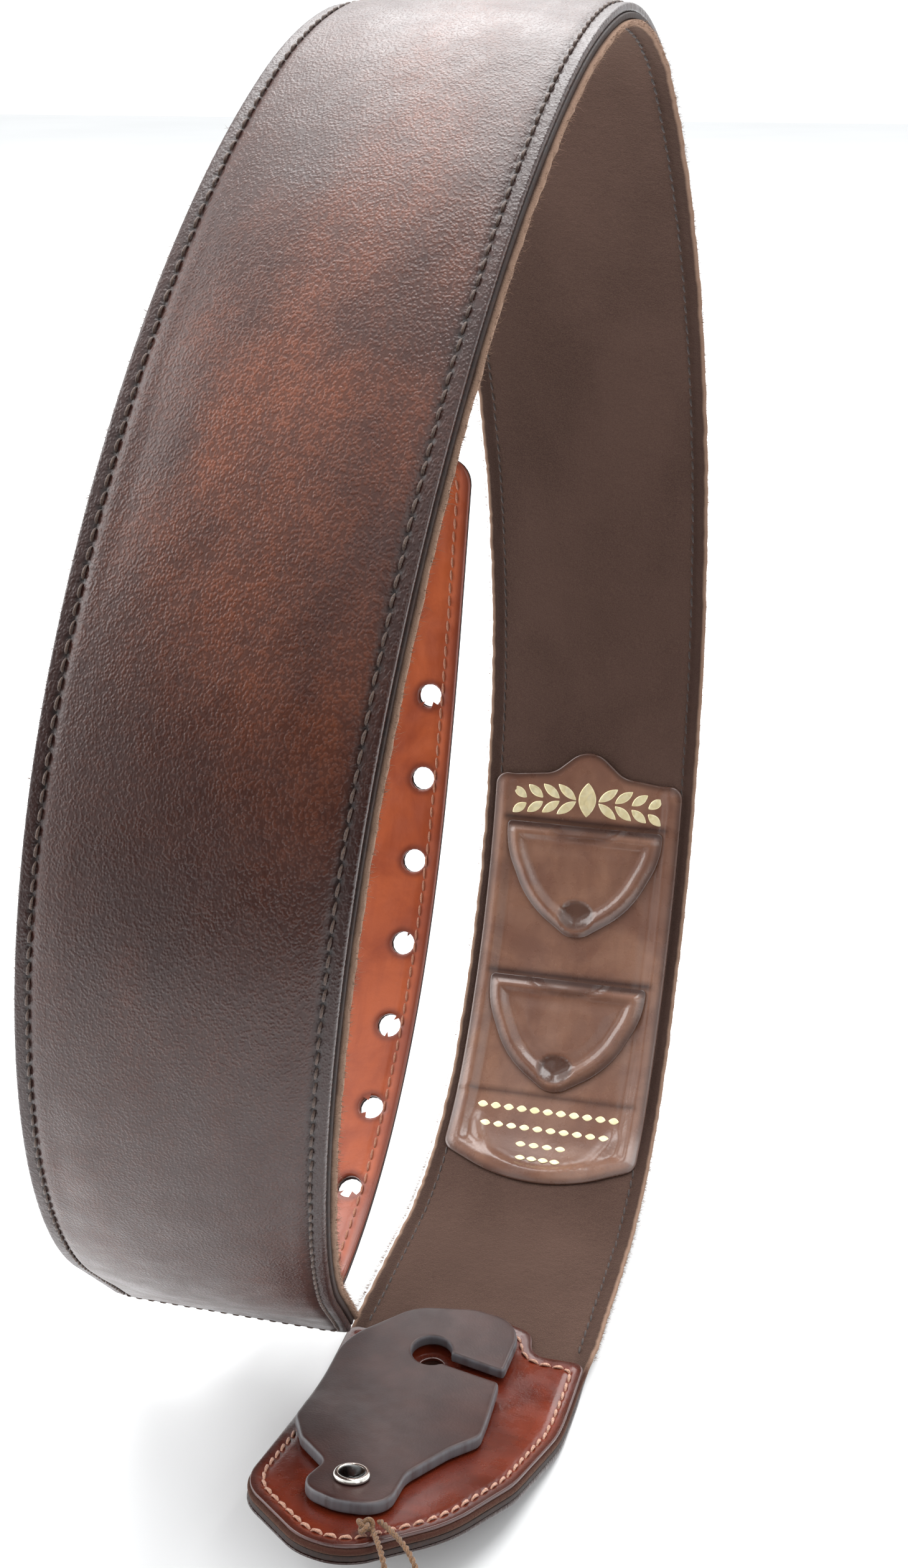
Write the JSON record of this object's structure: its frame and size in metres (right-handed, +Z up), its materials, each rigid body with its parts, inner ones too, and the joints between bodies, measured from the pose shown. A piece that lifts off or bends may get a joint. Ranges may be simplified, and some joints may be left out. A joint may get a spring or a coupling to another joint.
{
  "type": "guitar strap",
  "caption": "Padded leather guitar strap standing in a loop, with a stitched band, lock plates that turn over the strap pins, plectrum pockets and a tail that slides in keepers.",
  "frame": {"origin": "on the floor under the middle of the strap's bounding box", "axes": "+Z up, X across the strap, +Y from the lock end that lies in front towards the back of the loop"},
  "size_m": [0.135, 0.3241, 0.3606],
  "materials": {
    "top_leather": "burnished, semi-gloss",
    "core_board": "matt",
    "suede": "napped, matt",
    "cognac_leather": "vegetable tanned, semi-gloss",
    "foam": "matt",
    "pocket_leather": "embossed, glossy",
    "lock_leather": "smooth with painted edge",
    "washer": "matt",
    "nickel": "polished",
    "keeper_leather": "smooth",
    "backing_leather": "smooth, satin",
    "cord": "twisted, waxed"
  },
  "bodies": {
    "band": {"top_leather": "top_leather", "core_layer": "core_board", "lining_suede": "suede", "foam_pad": "foam", "end_patch_front": "cognac_leather", "pocket_patch": "pocket_leather", "pick_pocket_upper": "pocket_leather", "pick_pocket_lower": "pocket_leather", "front_lock_washer": "washer", "front_lock_rivet_post": "nickel", "front_lock_rivet_cap": "nickel", "end_patch_tail": "cognac_leather", "keeper_upper": "keeper_leather", "keeper_lower": "keeper_leather", "hang_cord": "cord", "cord_knot": "cord"},
    "front_lock": {"front_lock_plate": "lock_leather"},
    "tail": {"tail_leather": "cognac_leather", "tail_backing": "backing_leather", "tail_screws": "nickel", "tail_lock_washer": "washer", "tail_lock_rivet_post": "nickel", "tail_lock_rivet_cap": "nickel"},
    "tail_lock": {"tail_lock_plate": "lock_leather"}
  },
  "joints": [
    {"name": "front_lock_pivot", "type": "hinge", "parent": "band", "child": "front_lock", "pos_m": [0.01721, -0.10501, 0.01828], "axis": [0, 0.2588, 0.9659], "range_deg": [-15, 100]},
    {"name": "tail_slide", "type": "slide", "parent": "band", "child": "tail", "axis": [0, 0.6756, -0.7373], "range_m": [0, 0.022]},
    {"name": "tail_lock_pivot", "type": "hinge", "parent": "tail", "child": "tail_lock", "pos_m": [-0.01601, 0.07547, 0.22356], "axis": [0, 0.9848, -0.1736], "range_deg": [-100, 100]}
  ]
}
